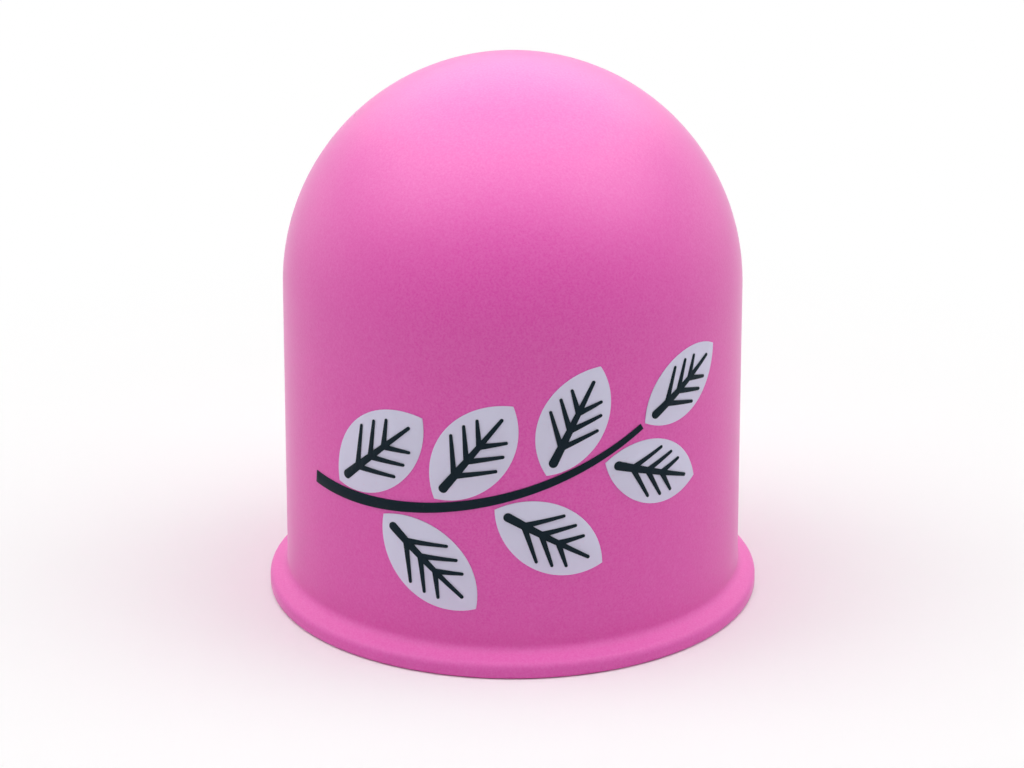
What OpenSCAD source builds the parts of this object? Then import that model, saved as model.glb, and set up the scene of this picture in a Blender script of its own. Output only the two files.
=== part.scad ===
// Silicone cupping cup: a thumb-pressed dome on a straight barrel with a
// flanged sealing lip, and a leaf sprig printed in two inks on the front.
// Millimetres, +Z up, origin on the axis in the plane of the lip.
// The printed front faces -Y.

/* [Cup] */
// Overall height, from the lip's face to the top of the dome
cup_h = 60.8; // [59:0.2:80]
// Outer diameter of the dome, and of the barrel where the two meet
dome_d = 50.6; // [46:0.2:54]
// Slope of the barrel's sides out towards the lip, in degrees, so that it leaves the mould
barrel_draft = 0.35; // [0:0.05:2]
// Thickness of the silicone in the barrel and the dome
wall = 3; // [2:0.1:4.5]

/* [Press zone] */
// Diameter of the crown that the thumb pushes down
crown_d = 32; // [24:0.5:38]

/* [Sealing lip] */
// How far the lip stands out from the barrel
lip_reach = 2; // [1.6:0.1:4]
// Height of the lip at its outer edge
lip_edge_h = 2.02; // [1.8:0.02:4]
// Slope of the lip's upper face, in degrees
lip_slope = 24; // [15:0.5:40]
// Rounding of the lip's outer edge, at the top
lip_edge_r = 1.1; // [0.4:0.05:1.2]
// Rounding of the lip's outer edge, at the bottom
lip_foot_r = 0.4; // [0.1:0.05:0.5]
// Radius of the hollow fillet where the lip runs up into the barrel, where there is room for it
lip_root_r = 1.2; // [0.4:0.05:1.6]
// Rounding of the mouth's inner edge
mouth_r_edge = 0.9; // [0.4:0.1:1.4]

/* [Print] */
// Number of leaves along the stem, besides the one at its tip
side_leaves = 6; // [2:1:6]
// Length of the lowest leaf
leaf_l = 14.5; // [10:0.5:15]
// Widest width of the lowest leaf
leaf_w = 8.2; // [5:0.1:8.6]
// Length of the tip leaf as a share of the lowest leaf's
tip_scale = 0.85; // [0.6:0.05:1]
// Room between the axes of neighbouring leaves, beyond their width
leaf_clear = 0.6; // [0.4:0.1:1.2]
// Angle between a leaf and the stem, in degrees
leaf_angle = 44; // [40:1:50]
// Height of the stem's lower end above the middle of the barrel
stem_rise = -1.4; // [-3:0.1:0]
// Gap between the stem's edge and a leaf's point
leaf_gap = 0.5; // [0.3:0.1:1]
// Width of the stem's line at its lower end
stem_w = 1.4; // [0.8:0.1:1.6]
// Width of the stem's line at its upper end
stem_tip_w = 0.7; // [0.4:0.1:0.8]
// Width of a leaf's midrib where it starts
midrib_w = 1; // [0.6:0.1:1.4]
// Width of a leaf's midrib where it ends
midrib_tip_w = 0.4; // [0.3:0.05:0.6]
// Width of a leaf's side veins where they leave the midrib
vein_w = 0.65; // [0.45:0.05:0.8]
// Width of a leaf's side veins where they end
vein_tip_w = 0.35; // [0.25:0.05:0.45]
// Gap along a side vein, from its end to the leaf's edge
vein_gap = 1.2; // [0.8:0.1:1.4]
// Thickness of a layer of ink
ink_t = 0.1; // [0.06:0.01:0.2]

/* [Hidden] */
$fn = 96;

// Dome
dome_r = dome_d / 2;
spring_z = cup_h - dome_r;
crown_z = spring_z + sqrt(pow(dome_r, 2) - pow(crown_d / 2, 2));

// Lip: its sloped upper face is tangent to the rounded edge and to the fillet below the barrel
lip_slope_reach = lip_reach - lip_edge_r + lip_edge_r * sin(lip_slope);
lip_slope_foot_z = lip_edge_h - lip_edge_r + lip_edge_r * cos(lip_slope);
lip_root_z = lip_slope_foot_z + lip_slope_reach * tan(lip_slope);
lip_root_fit_r = min(lip_root_r, 0.95 * lip_slope_reach / (1 - sin(lip_slope)));
lip_root_tangent = lip_root_fit_r * tan((90 - lip_slope) / 2);
lip_top_z = lip_root_z + lip_root_tangent;
lip_root_steps = 8;
barrel_base_r = dome_r + (spring_z - lip_top_z) * tan(barrel_draft);
mouth_r = barrel_base_r - wall;
lip_r = barrel_base_r + lip_reach;

// Ink lies on the silicone, and black ink on white, with room for the curved faces
ink_seat = 0.02;
white_offset = ink_seat;
black_offset = white_offset + ink_t + ink_seat;

// The print is laid out on the unrolled barrel: across from the front, and up
print_r = (dome_r + barrel_base_r) / 2;
stem_heading = -6;
stem_bend_r = 64;
first_leaf = 3;
leaf_pitch = (leaf_w + leaf_clear) / (2 * sin(leaf_angle));
stem_l = first_leaf + leaf_pitch * side_leaves;
stem_step = 0.8;

// Places along a leaf as shares of its length: the midrib's ends, and where side veins leave it
midrib_places = [0.12, 0.86];
vein_places = [0.26, 0.42, 0.58];
vein_angle = 42;

leaf_count = side_leaves + 1;

silicone_pink = [0.86, 0.36, 0.66];
ink_white = [0.93, 0.92, 0.95];
ink_black = [0.06, 0.08, 0.09];

// Outer radius of the barrel at a height
function barrel_r(z) =
    barrel_base_r + (dome_r - barrel_base_r) * (z - lip_top_z) / (spring_z - lip_top_z);

// Stem: a plain arc on the unrolled barrel, by distance along it
function heading_at(s) = stem_heading + s / stem_bend_r * 180 / PI;
function stem_run(s) =
    stem_bend_r * [sin(heading_at(s)) - sin(stem_heading),
                   cos(stem_heading) - cos(heading_at(s))];
function sprig_span() =
    stem_run(stem_l).x + leaf_length(side_leaves) * cos(heading_at(stem_l));
function stem_at(s) =
    [-sprig_span() / 2, (spring_z + lip_top_z) / 2 + stem_rise] + stem_run(s);
function stem_width(s) = stem_w + (stem_tip_w - stem_w) * s / stem_l;

// Leaves: they shrink towards the tip and stand on alternate sides of the stem
function is_tip(i) = i == side_leaves;
function leaf_scale(i) = 1 + (tip_scale - 1) * i / side_leaves;
function leaf_length(i) = leaf_l * leaf_scale(i);
function leaf_width(i) = leaf_w * leaf_scale(i);
function leaf_stem_s(i) = is_tip(i) ? stem_l : first_leaf + leaf_pitch * i;
function leaf_turn(i) = is_tip(i) ? 0 : (i % 2 == 0 ? leaf_angle : -leaf_angle);
function leaf_heading(i) = heading_at(leaf_stem_s(i)) + leaf_turn(i);
function leaf_standoff(i) =
    is_tip(i) ? leaf_gap : (stem_width(leaf_stem_s(i)) / 2 + leaf_gap) / sin(leaf_angle);
function leaf_centre(i) =
    stem_at(leaf_stem_s(i))
    + (leaf_standoff(i) + leaf_length(i) / 2) * [cos(leaf_heading(i)), sin(leaf_heading(i))];

// A point of the unrolled print on the barrel, standing off its surface
function on_barrel(p, offset) =
    let (turn = p.x / print_r * 180 / PI, r = barrel_r(p.y) + offset)
    [r * sin(turn), -r * cos(turn), p.y];

// Half of the cup's dome in section, from the axis to the barrel
module dome_section() {
    translate([0, spring_z])
        intersection() {
            difference() {
                circle(dome_r);
                circle(dome_r - wall);
            }
            square(dome_d);
        }
}

module crown() {
    color(silicone_pink)
        rotate_extrude()
            intersection() {
                dome_section();
                translate([0, crown_z])
                    square(dome_d);
            }
}

module shoulder() {
    color(silicone_pink)
        rotate_extrude()
            intersection() {
                dome_section();
                translate([0, spring_z])
                    square([dome_d, crown_z - spring_z]);
            }
}

module barrel() {
    color(silicone_pink)
        rotate_extrude()
            polygon([
                [mouth_r, lip_top_z],
                [barrel_base_r, lip_top_z],
                [dome_r, spring_z],
                [dome_r - wall, spring_z],
            ]);
}

module sealing_lip() {
    edge_z = lip_edge_h - lip_edge_r;
    fillet = [
        for (k = [0:lip_root_steps])
            let (turn = (90 - lip_slope) * (1 - k / lip_root_steps))
            [barrel_base_r + lip_root_fit_r * (1 - cos(turn)), lip_top_z - lip_root_fit_r * sin(turn)]];
    color(silicone_pink)
        rotate_extrude()
            union() {
                polygon(concat(
                    [[mouth_r + mouth_r_edge, 0],
                     [lip_r - lip_foot_r, 0],
                     [lip_r, lip_foot_r],
                     [lip_r, edge_z],
                     [barrel_base_r + lip_slope_reach, lip_slope_foot_z]],
                    fillet,
                    [[mouth_r, lip_top_z],
                     [mouth_r, mouth_r_edge]]));
                translate([mouth_r + mouth_r_edge, mouth_r_edge])
                    circle(mouth_r_edge);
                translate([lip_r - lip_edge_r, edge_z])
                    intersection() {
                        circle(lip_edge_r);
                        square(lip_edge_r);
                    }
                translate([lip_r - lip_foot_r, lip_foot_r])
                    circle(lip_foot_r);
            }
}

// A layer of ink all round the barrel, from which the printed shapes are cut
module ink_layer(offset) {
    h = spring_z - lip_top_z;
    translate([0, 0, lip_top_z])
        difference() {
            cylinder(h, barrel_base_r + offset + ink_t, dome_r + offset + ink_t);
            cylinder(h, barrel_base_r + offset, dome_r + offset);
        }
}

// Stamps a flat outline, drawn round a leaf's centre, into a layer of ink
module stamped(i, offset) {
    centre = leaf_centre(i);
    intersection() {
        ink_layer(offset);
        rotate([0, 0, centre.x / print_r * 180 / PI])
            translate([0, 0, centre.y])
                rotate([90, 0, 0])
                    linear_extrude(lip_r)
                        rotate(leaf_heading(i))
                            children();
    }
}

// A leaf is what two equal circles share
function bow_r(l, w) = (pow(l, 2) + pow(w, 2)) / (4 * w);

module leaf_outline(l, w) {
    intersection_for (side = [-1, 1])
        translate([0, side * (bow_r(l, w) - w / 2)])
            circle(bow_r(l, w));
}

module leaf_print(i) {
    color(ink_white)
        stamped(i, white_offset)
            leaf_outline(leaf_length(i), leaf_width(i));
}

// How far it is along a side vein from the midrib, x from the leaf's middle, to the leaf's edge
function vein_run(l, w, x) =
    let (drop = bow_r(l, w) - w / 2,
         along = x * cos(vein_angle) + drop * sin(vein_angle))
    sqrt(pow(along, 2) + pow(bow_r(l, w), 2) - pow(x, 2) - pow(drop, 2)) - along;

// A stroke that tapers, with round ends
module stroke(run, start_w, end_w) {
    polygon([[0, -start_w / 2], [run, -end_w / 2], [run, end_w / 2], [0, start_w / 2]]);
    circle(d = start_w);
    translate([run, 0])
        circle(d = end_w);
}

// A midrib with side veins that stop short of the leaf's edge
module veins_outline(l, w) {
    translate([l * (midrib_places[0] - 0.5), 0])
        stroke(l * (midrib_places[1] - midrib_places[0]), midrib_w, midrib_tip_w);
    for (place = vein_places, side = [-1, 1]) {
        x = l * (place - 0.5);
        translate([x, 0])
            rotate(side * vein_angle)
                stroke(vein_run(l, w, x) - vein_gap, vein_w, vein_tip_w);
    }
}

module vein_print(i) {
    color(ink_black)
        stamped(i, black_offset)
            veins_outline(leaf_length(i), leaf_width(i));
}

// The stem's line: a four-cornered ribbon swept along its arc over the barrel
module stem_print() {
    steps = ceil(stem_l / stem_step);
    offsets = [white_offset, white_offset + ink_t];
    ribbon = [
        for (k = [0:steps])
            let (s = stem_l * k / steps,
                 across = stem_width(s) / 2 * [-sin(heading_at(s)), cos(heading_at(s))])
            for (corner = [[-1, 0], [-1, 1], [1, 1], [1, 0]])
                on_barrel(stem_at(s) + corner[0] * across, offsets[corner[1]])];
    sides = [
        for (k = [0:steps - 1], c = [0:3])
            let (a = 4 * k + c, b = 4 * k + (c + 1) % 4)
            for (face = [[a, b, b + 4], [a, b + 4, a + 4]]) face];
    last = 4 * steps;
    ends = [[0, 2, 1], [0, 3, 2],
            [last, last + 1, last + 2], [last, last + 2, last + 3]];
    color(ink_black)
        polyhedron(ribbon, concat(sides, ends));
}

crown();
shoulder();
barrel();
sealing_lip();
stem_print();
for (i = [1:leaf_count]) {
    leaf_print(i - 1);
    vein_print(i - 1);
}
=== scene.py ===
import math

import bmesh
import bpy
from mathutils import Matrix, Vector


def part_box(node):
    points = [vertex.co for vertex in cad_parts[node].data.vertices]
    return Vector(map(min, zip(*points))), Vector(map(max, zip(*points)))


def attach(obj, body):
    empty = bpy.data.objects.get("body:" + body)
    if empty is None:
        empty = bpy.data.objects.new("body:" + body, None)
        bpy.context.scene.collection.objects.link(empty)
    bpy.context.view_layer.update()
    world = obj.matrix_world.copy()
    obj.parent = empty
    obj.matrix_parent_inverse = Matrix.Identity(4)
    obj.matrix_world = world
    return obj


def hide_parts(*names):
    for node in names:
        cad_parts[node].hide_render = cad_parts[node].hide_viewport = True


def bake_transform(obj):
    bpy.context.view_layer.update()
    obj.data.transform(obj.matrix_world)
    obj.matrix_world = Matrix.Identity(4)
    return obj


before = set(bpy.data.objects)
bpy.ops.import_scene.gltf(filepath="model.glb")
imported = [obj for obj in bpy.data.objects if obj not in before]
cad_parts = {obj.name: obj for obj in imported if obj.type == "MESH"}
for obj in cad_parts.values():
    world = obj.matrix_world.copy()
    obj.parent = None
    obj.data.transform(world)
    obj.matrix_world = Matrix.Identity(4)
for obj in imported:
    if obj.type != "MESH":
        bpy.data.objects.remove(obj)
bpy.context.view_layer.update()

# The moulding: dome, barrel and lip are one skin of soft pink silicone, about 3 mm thick, pressed
# between a cavity and a core. The cavity is spark-roughened, so the skin comes out matte and
# powdery. The lip is trimmed of its flash and buffed, which leaves it duller; its colour is mixed
# paler.
WALL = 0.003
LIP_EDGE_HEIGHT = 0.00193
LIP_EDGE_ROUND = 0.00085
LIP_FOOT_ROUND = 0.0004
LIP_SLOPE = math.radians(24)
LIP_ROOT_FILLET = 0.00105
MOUTH_ROUND = 0.0009
RING_STEPS = 256
SKIN_STEP = 0.00062
ARC_STEPS_PER_RADIAN = 4
SHARP_TURN = math.radians(60)

lip_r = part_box("sealing_lip")[1].x
barrel_base_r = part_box("barrel")[1].x
barrel_base_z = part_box("barrel")[0].z
dome_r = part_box("shoulder")[1].x
spring_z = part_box("shoulder")[0].z
mouth_r = barrel_base_r - WALL


def arc(centre, radius, start, end):
    """Points along an arc, in degrees, a skin step apart at most and closer on a tight turn."""
    turn = math.radians(end - start)
    steps = math.ceil(abs(turn) * max(radius / SKIN_STEP, ARC_STEPS_PER_RADIAN))
    angles = [math.radians(start) + turn * k / steps for k in range(steps + 1)]
    return [(centre[0] + radius * math.cos(a), centre[1] + radius * math.sin(a)) for a in angles]


def straight(a, b):
    """Points between two places, a skin step apart at most, without the ends."""
    steps = max(math.ceil(math.dist(a, b) / SKIN_STEP), 1)
    return [(a[0] + (b[0] - a[0]) * k / steps, a[1] + (b[1] - a[1]) * k / steps)
            for k in range(1, steps)]


def joined(*runs):
    """One line of points from several runs, with straight stretches between them."""
    line = list(runs[0])
    for run in runs[1:]:
        line += straight(line[-1], run[0]) + list(run)
    return line


slope_degrees = math.degrees(LIP_SLOPE)
edge_centre = (lip_r - LIP_EDGE_ROUND, LIP_EDGE_HEIGHT - LIP_EDGE_ROUND)
slope_foot = (edge_centre[0] + LIP_EDGE_ROUND * math.sin(LIP_SLOPE),
              edge_centre[1] + LIP_EDGE_ROUND * math.cos(LIP_SLOPE))
root_z = slope_foot[1] + (slope_foot[0] - barrel_base_r) * math.tan(LIP_SLOPE)
root_turn = 90 - slope_degrees
root_tangent = LIP_ROOT_FILLET * math.tan(math.radians(root_turn / 2))
root_centre = (barrel_base_r + LIP_ROOT_FILLET, root_z + root_tangent)
skin_line = joined(
    arc((0, spring_z), dome_r, 90, 0),
    arc(root_centre, LIP_ROOT_FILLET, 180, 180 + root_turn),
    arc(edge_centre, LIP_EDGE_ROUND, 90 - slope_degrees, 0),
    arc((lip_r - LIP_FOOT_ROUND, LIP_FOOT_ROUND), LIP_FOOT_ROUND, 0, -90),
    arc((mouth_r + MOUTH_ROUND, MOUTH_ROUND), MOUTH_ROUND, 270, 180),
    arc((0, spring_z), dome_r - WALL, 0, 90))


def as_piece(name, form):
    """A smooth-shaded object from a finished mesh, which also keeps each point's place at rest."""
    mesh = bpy.data.meshes.new(name)
    form.to_mesh(mesh)
    form.free()
    mesh.polygons.foreach_set("use_smooth", [True] * len(mesh.polygons))
    mesh.set_sharp_from_angle(angle=SHARP_TURN)
    places = mesh.attributes.new("rest_place", "FLOAT_VECTOR", "POINT")
    places.data.foreach_set("vector", [x for v in mesh.vertices for x in v.co])
    piece = bpy.data.objects.new(name, mesh)
    bpy.context.scene.collection.objects.link(piece)
    return piece


def revolved(name, line):
    """A closed piece from a line of (radius, height) that starts and ends on the axis."""
    form = bmesh.new()
    turns = [2 * math.pi * k / RING_STEPS for k in range(RING_STEPS)]
    rings = [[form.verts.new((radius * math.cos(a), radius * math.sin(a), height)) for a in turns]
             for radius, height in line[1:-1]]
    poles = [form.verts.new((0, 0, line[end][1])) for end in (0, -1)]
    for k in range(RING_STEPS):
        n = (k + 1) % RING_STEPS
        form.faces.new((poles[0], rings[0][k], rings[0][n]))
        form.faces.new((poles[1], rings[-1][n], rings[-1][k]))
        for upper, lower in zip(rings, rings[1:]):
            form.faces.new((upper[k], lower[k], lower[n], upper[n]))
    return as_piece(name, form)


class Shade:
    """A shader value in a node tree. Sums on it add Math nodes, and node() adds any other."""

    def __init__(self, tree, socket=None):
        self.tree = tree
        self.socket = socket

    def node(self, kind, settings=None, sockets=None, out=0):
        """A new node with its settings and its sockets filled, as the shade of one output."""
        made = self.tree.nodes.new(kind)
        for name, value in (settings or {}).items():
            setattr(made, name, value)
        for name, value in (sockets or {}).items():
            if isinstance(value, Shade):
                self.tree.links.new(value.socket, made.inputs[name])
            else:
                made.inputs[name].default_value = value
        return Shade(self.tree, made.outputs[out] if made.outputs else None)

    def math(self, operation, first, second):
        return self.node("ShaderNodeMath", {"operation": operation}, {0: first, 1: second})

    def __add__(self, other):
        return self.math("ADD", self, other)

    def __radd__(self, other):
        return self.math("ADD", other, self)

    def __sub__(self, other):
        return self.math("SUBTRACT", self, other)

    def __rsub__(self, other):
        return self.math("SUBTRACT", other, self)

    def __mul__(self, other):
        return self.math("MULTIPLY", self, other)

    def __rmul__(self, other):
        return self.math("MULTIPLY", other, self)

    def mixed(self, first, second):
        """One colour to another by this value."""
        colours = {0: self, 6: first, 7: second}
        return self.node("ShaderNodeMix", {"data_type": "RGBA"}, colours, out=2)

    def mapped(self, low, high, at_low, at_high, easing="SMOOTHSTEP"):
        """A value that goes from at_low to at_high as this one goes from low to high."""
        return self.node("ShaderNodeMapRange", {"interpolation_type": easing}, {
            "Value": self, "From Min": low, "From Max": high, "To Min": at_low, "To Max": at_high})


def blank_material(name):
    """A new material with an empty tree, and a shade to grow it from."""
    material = bpy.data.materials.new(name)
    material.use_nodes = True
    material.node_tree.nodes.clear()
    return material, Shade(material.node_tree)


def grain(start, place, scale, detail=2.0, roughness=0.5):
    """Cloudy noise over a piece, at so many features to the metre."""
    return start.node("ShaderNodeTexNoise", None, {
        "Vector": place, "Scale": scale, "Detail": detail, "Roughness": roughness})


CLOUDS_PER_M = 70
RIPPLES_PER_M = 160
POWDER_PER_M = 4200
PIGMENT_DEEP = (0.732, 0.021, 0.374, 1)
PIGMENT_PALE = (0.782, 0.031, 0.406, 1)
POWDER_COLOUR = (0.86, 0.18, 0.58, 1)
POWDER_COVER = 0.85
POWDER_BARE = 0.15
RIPPLE_TO_POWDER = 3
SKIN_ROUGHNESS = 0.42
POWDER_ROUGHNESS = 0.12
BUFFED_ROUGHNESS = 0.24
LIP_PALING = 0.8
BUFFED_BELOW = 0.0025
UNBUFFED_ABOVE = 0.0034


def silicone():
    """Matte pink silicone: pigment clouds, a powdery grain, and a sheen that pales when grazed."""
    material, start = blank_material("pink_silicone")
    place = start.node("ShaderNodeAttribute", {"attribute_name": "rest_place"}, out=1)
    clouds = grain(start, place, CLOUDS_PER_M, 3.0)
    powder = grain(start, place, POWDER_PER_M, 2.0, 0.6)
    ripple = grain(start, place, RIPPLES_PER_M, 2.0)
    height = start.node("ShaderNodeSeparateXYZ", None, {"Vector": place}, out=2)
    buffed = height.mapped(BUFFED_BELOW, UNBUFFED_ABOVE, BUFFED_ROUGHNESS, 0.0)
    pigment = clouds.mixed(PIGMENT_DEEP, PIGMENT_PALE)
    # Below the lip's top the colour is mixed further towards the powder colour, so the whole lip is
    # paler.
    bloom = powder * POWDER_COVER - POWDER_BARE + buffed * LIP_PALING
    bumped = start.node("ShaderNodeBump", None, {
        "Strength": 0.5, "Distance": 0.000024, "Height": powder + ripple * RIPPLE_TO_POWDER})
    skin = start.node("ShaderNodeBsdfPrincipled", None, {
        "Base Color": bloom.mixed(pigment, POWDER_COLOUR),
        "Roughness": SKIN_ROUGHNESS + powder * POWDER_ROUGHNESS + buffed,
        "Normal": bumped,
        "IOR": 1.42,
        "Specular IOR Level": 1.0,
        "Sheen Weight": 0.45,
        "Sheen Roughness": 0.3,
        "Sheen Tint": (1.0, 0.9, 0.97, 1),
    })
    start.node("ShaderNodeOutputMaterial", None, {"Surface": skin})
    return material


cup = revolved("cup_moulding", skin_line)
cup.data.materials.append(silicone())
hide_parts("crown", "shoulder", "barrel", "sealing_lip")
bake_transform(cup)

# The print's white leaves: flexible silicone ink pad-printed on the barrel's front, one thin film
# to a leaf, slightly thinner at its edge where the ink drew back. Each film is cut to its solid's
# outline.
INK_THICKNESS = 0.0001
INK_EDGE = 0.00007
INK_WALL_SHARE = 0.55
INK_BEND_STEP = 0.0005
INK_SNAP = 0.000002
WHITE_LIFT = 0.00002
POINT_GRID_PER_M = 1e7
FACING_OUT = 0.9
LEAST_CORNER = 1.0
print_r = (barrel_base_r + dome_r) / 2


def ink_outline(node):
    """A film's outline on the unrolled barrel, as (across, up), from its outer face's border."""
    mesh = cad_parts[node].data
    keys = [tuple(round(x * POINT_GRID_PER_M) for x in v.co) for v in mesh.vertices]
    places = dict(zip(keys, (v.co for v in mesh.vertices)))
    sides = {}
    for face in mesh.polygons:
        outwards = Vector((face.center.x, face.center.y, 0)).normalized()
        if face.normal.dot(outwards) > FACING_OUT:
            ring = [keys[i] for i in face.vertices]
            sides.update(dict.fromkeys(zip(ring, ring[1:] + ring[:1])))
    after = {a: b for a, b in sides if (b, a) not in sides}
    loop = [next(iter(after))]
    while len(loop) < len(after):
        loop.append(after[loop[-1]])
    border = [places[key] for key in loop]
    return [(math.atan2(spot.x, -spot.y) * print_r, spot.z) for spot in border]


def barrel_radius(height):
    """The barrel's outer radius at a height, between its base and the foot of the dome."""
    share = (height - barrel_base_z) / (spring_z - barrel_base_z)
    return barrel_base_r + (dome_r - barrel_base_r) * share


def drawn_in(line, distance):
    """A closed outline moved inwards by a distance, with sharp corners kept from running away."""
    inner = []
    for before, here, after in zip(line[-1:] + line[:-1], line, line[1:] + line[:1]):
        sides = []
        for a, b in ((before, here), (here, after)):
            run = math.dist(a, b)
            sides.append(((a[1] - b[1]) / run, (b[0] - a[0]) / run))
        across = Vector(sides[0]) + Vector(sides[1])
        reach = 2 * distance / max(across.length_squared, LEAST_CORNER)
        inner.append((here[0] + across.x * reach, here[1] + across.y * reach))
    return inner


def ink_film(name, node, lift):
    """A film of ink with softened edges, cut to a CAD film's outline and wrapped on the barrel."""
    outline = ink_outline(node)
    form = bmesh.new()
    levels = ((outline, 0), (outline, INK_THICKNESS * INK_WALL_SHARE),
              (drawn_in(outline, INK_EDGE), INK_THICKNESS))
    rings = [[form.verts.new((u, v, height)) for u, v in line] for line, height in levels]
    count = len(outline)
    for lower, upper in zip(rings, rings[1:]):
        for k in range(count):
            n = (k + 1) % count
            form.faces.new((lower[k], lower[n], upper[n], upper[k]))
    form.faces.new(rings[0][::-1])
    form.faces.new(rings[-1])
    across = [u for u, v in outline]
    first_bend = math.ceil(min(across) / INK_BEND_STEP)
    last_bend = math.floor(max(across) / INK_BEND_STEP)
    for k in range(first_bend, last_bend + 1):
        bmesh.ops.bisect_plane(form, geom=[*form.verts, *form.edges, *form.faces], dist=INK_SNAP,
                               plane_co=(k * INK_BEND_STEP, 0, 0), plane_no=(1, 0, 0))
    for vert in form.verts:
        u, v, height = vert.co
        radius = barrel_radius(v) + lift + height
        vert.co = (radius * math.sin(u / print_r), -radius * math.cos(u / print_r), v)
    return as_piece(name, form)


FLOW_PER_M = 420
PEEL_PER_M = 2600
FLOW_TO_PEEL = 1.5
PEEL_ROUGHNESS = 0.16
PINHOLE_START = 0.66
PINHOLE_FULL = 0.78
PINHOLE_SHOW = 0.35


def ink(name, thin, thick, fleck, roughness):
    """Flexible printing ink: a dense film with faint pinholes and an orange-peel surface."""
    material, start = blank_material(name)
    place = start.node("ShaderNodeAttribute", {"attribute_name": "rest_place"}, out=1)
    flow = grain(start, place, FLOW_PER_M, 3.0)
    peel = grain(start, place, PEEL_PER_M, 2.0)
    laid = flow.mixed(thin, thick)
    pinholes = peel.mapped(PINHOLE_START, PINHOLE_FULL, 0.0, PINHOLE_SHOW, "LINEAR")
    bumped = start.node("ShaderNodeBump", None, {
        "Strength": 0.4, "Distance": 0.00004, "Height": peel + flow * FLOW_TO_PEEL})
    film = start.node("ShaderNodeBsdfPrincipled", None, {
        "Base Color": pinholes.mixed(laid, fleck),
        "Roughness": roughness + peel * PEEL_ROUGHNESS,
        "Normal": bumped,
        "IOR": 1.45,
        "Specular IOR Level": 0.06,
    })
    start.node("ShaderNodeOutputMaterial", None, {"Surface": film})
    return material


white_ink = ink("white_ink", thin=(0.73, 0.7, 0.88, 1), thick=(0.77, 0.75, 0.93, 1),
                fleck=(0.78, 0.56, 0.74, 1), roughness=0.46)
leaf_nodes = sorted(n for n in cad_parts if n.startswith("leaf_print_"))
for node in leaf_nodes:
    leaf = ink_film(node.replace("print", "ink"), node, WHITE_LIFT)
    leaf.data.materials.append(white_ink)
    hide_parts(node)
    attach(leaf, "cup")

# The black veins: a second pass of the same ink over the white, with a midrib and side veins on
# every leaf. Each film lies on the white ink, so it stands one film higher.
BLACK_LIFT = WHITE_LIFT * 2 + INK_THICKNESS
black_ink = ink("black_ink", thin=(0.007, 0.016, 0.024, 1), thick=(0.012, 0.023, 0.033, 1),
                fleck=(0.05, 0.045, 0.05, 1), roughness=0.4)
vein_nodes = sorted(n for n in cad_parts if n.startswith("vein_print_"))
for node in vein_nodes:
    vein = ink_film(node.replace("print", "ink"), node, BLACK_LIFT)
    vein.data.materials.append(black_ink)
    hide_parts(node)
    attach(vein, "cup")

# The black stem: part of that second pass, laid straight on the silicone. It runs between the
# leaves, which stop just short of it.
stem = ink_film("stem_ink", "stem_print", WHITE_LIFT)
stem.data.materials.append(black_ink)
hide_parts("stem_print")
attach(stem, "cup")

# The floor: a plain white table that takes the cup's soft shadow. It runs out into white, so that
# the picture has no horizon.
FLOOR_R = 3.0
FLOOR_STEPS = 96
FADE_START = 0.035
FADE_END = 0.13


def looked_at(start):
    """One for rays that look at a surface, straight, mirrored or through glass, or else nought."""
    seen = start.node("ShaderNodeLightPath")
    kinds = seen.socket.node.outputs
    for kind in ("Is Glossy Ray", "Is Transmission Ray"):
        seen = start.math("MAXIMUM", seen, Shade(start.tree, kinds[kind]))
    return seen


floor_form = bmesh.new()
bmesh.ops.create_circle(floor_form, cap_ends=True, segments=FLOOR_STEPS, radius=FLOOR_R)
floor = as_piece("floor", floor_form)
floor_material, start = blank_material("white_table")
place = start.node("ShaderNodeTexCoord", out=3)
far = start.node("ShaderNodeVectorMath", {"operation": "LENGTH"}, {0: place}, out=1)
faded = far.mapped(FADE_START, FADE_END, 0.0, 1.0)
table_top = start.node("ShaderNodeBsdfPrincipled", None, {
    "Base Color": (0.96, 0.96, 0.96, 1), "Roughness": 0.8, "Specular IOR Level": 0.2})
white_light = start.node("ShaderNodeEmission", None, {"Color": (1, 1, 1, 1), "Strength": 1.0})
table_mix = start.node("ShaderNodeMixShader", None, {
    0: faded * looked_at(start), 1: table_top, 2: white_light})
start.node("ShaderNodeOutputMaterial", None, {"Surface": table_mix})
floor.data.materials.append(floor_material)

# The light: a dim white tent round the cup, with a broad softbox above it. Panels over, behind and
# at both sides serve the skin's sheen alone, which pales the dome's top as in the photo.
TENT_STRENGTH = 0.185
SHEEN_LIGHT = (1.0, 0.99, 0.91)
world = bpy.data.worlds.new("white_tent")
world.use_nodes = True
world.node_tree.nodes.clear()
tent = Shade(world.node_tree)
tent_light = tent.node("ShaderNodeBackground", None, {
    "Color": (1, 1, 1, 1), "Strength": TENT_STRENGTH})
tent_white = tent.node("ShaderNodeBackground", None, {"Color": (1, 1, 1, 1), "Strength": 1.0})
tent_mix = tent.node("ShaderNodeMixShader", None, {
    0: looked_at(tent), 1: tent_light, 2: tent_white})
tent.node("ShaderNodeOutputWorld", None, {"Surface": tent_mix})
bpy.context.scene.world = world


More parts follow.
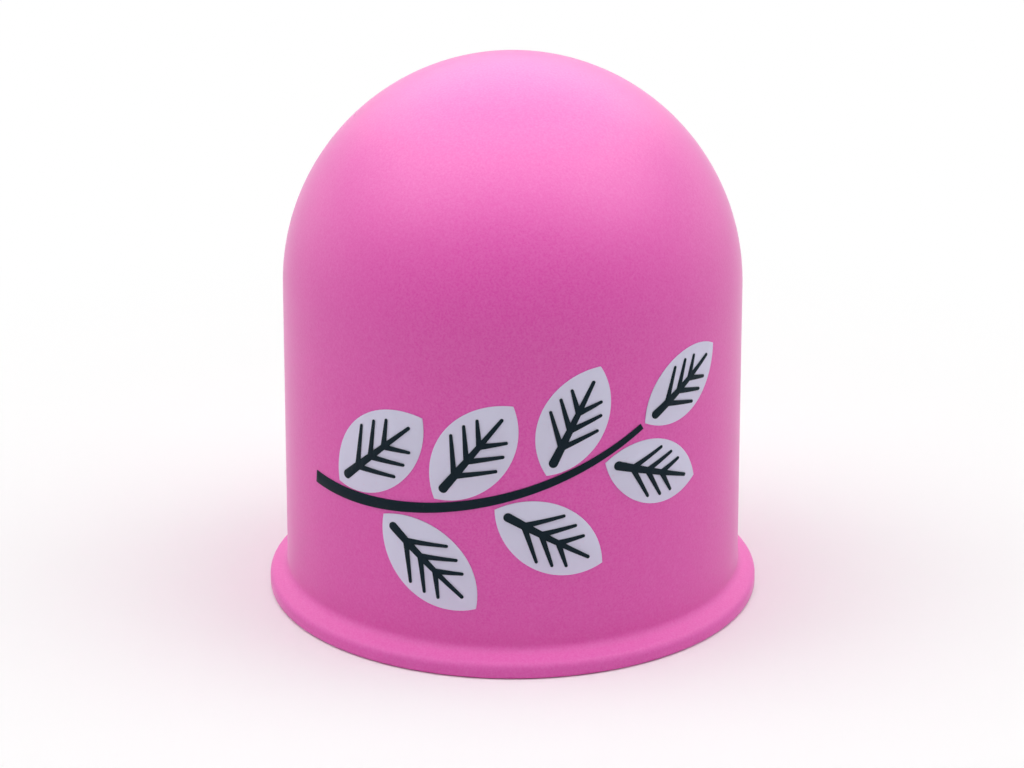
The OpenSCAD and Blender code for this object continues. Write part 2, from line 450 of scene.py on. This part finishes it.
def softbox(name, place, aim, width, height, watts, sheen_only=False):
    """A soft panel of light, turned towards a point, which may serve for the skin's sheen alone."""
    lamp = bpy.data.lights.new(name, "AREA")
    lamp.shape = "RECTANGLE"
    lamp.size = width
    lamp.size_y = height
    lamp.energy = watts
    if sheen_only:
        lamp.color = SHEEN_LIGHT
    box = bpy.data.objects.new(name, lamp)
    box.visible_diffuse = not sheen_only
    box.location = place
    box.rotation_euler = (Vector(aim) - Vector(place)).to_track_quat("-Z", "Y").to_euler()
    bpy.context.scene.collection.objects.link(box)


softbox("top_softbox", place=(0, -0.03, 0.8), aim=(0, -0.03, 0),
        width=2.4, height=0.75, watts=11.3)
softbox("top_sheen", place=(0, -0.05, 0.81), aim=(0, -0.05, 0),
        width=3.2, height=1.4, watts=26.0, sheen_only=True)
softbox("back_sheen", place=(0, 0.733, 0.623), aim=(0, 0, 0.05),
        width=1.5, height=0.7, watts=9.4, sheen_only=True)
for side in (-1, 1):
    softbox("side_sheen", place=(side * 0.86, 0.4, 0.17), aim=(0, 0, 0.04),
            width=0.9, height=0.32, watts=0.95, sheen_only=True)

# The camera: a long lens a little above the cup, looking at its printed front. Its turn and its
# lens bring the dome to its place in the photo's frame.
VIEW_HEIGHT = math.radians(19.0)
VIEW_DISTANCE = 15 * dome_r
DOME_RADIUS_PX = 229.3
DOME_CENTRE_PX = (512.7, 280.3)
FRAME_PX = (1024, 768)
SENSOR_MM = 36
focal_px = DOME_RADIUS_PX * VIEW_DISTANCE / dome_r
dome_centre = Vector((0, 0, spring_z))
towards_eye = Vector((0, -math.cos(VIEW_HEIGHT), math.sin(VIEW_HEIGHT)))
pitch = VIEW_HEIGHT + math.atan((FRAME_PX[1] / 2 - DOME_CENTRE_PX[1]) / focal_px)
yaw = math.atan((DOME_CENTRE_PX[0] - FRAME_PX[0] / 2) / focal_px)
lens = bpy.data.cameras.new("camera")
lens.sensor_width = SENSOR_MM
lens.lens = SENSOR_MM * focal_px / FRAME_PX[0]
camera = bpy.data.objects.new("camera", lens)
camera.location = dome_centre + VIEW_DISTANCE * towards_eye
camera.rotation_euler = (math.pi / 2 - pitch, 0, yaw)
bpy.context.scene.collection.objects.link(camera)
bpy.context.scene.camera = camera
bpy.context.scene.view_settings.view_transform = "Standard"
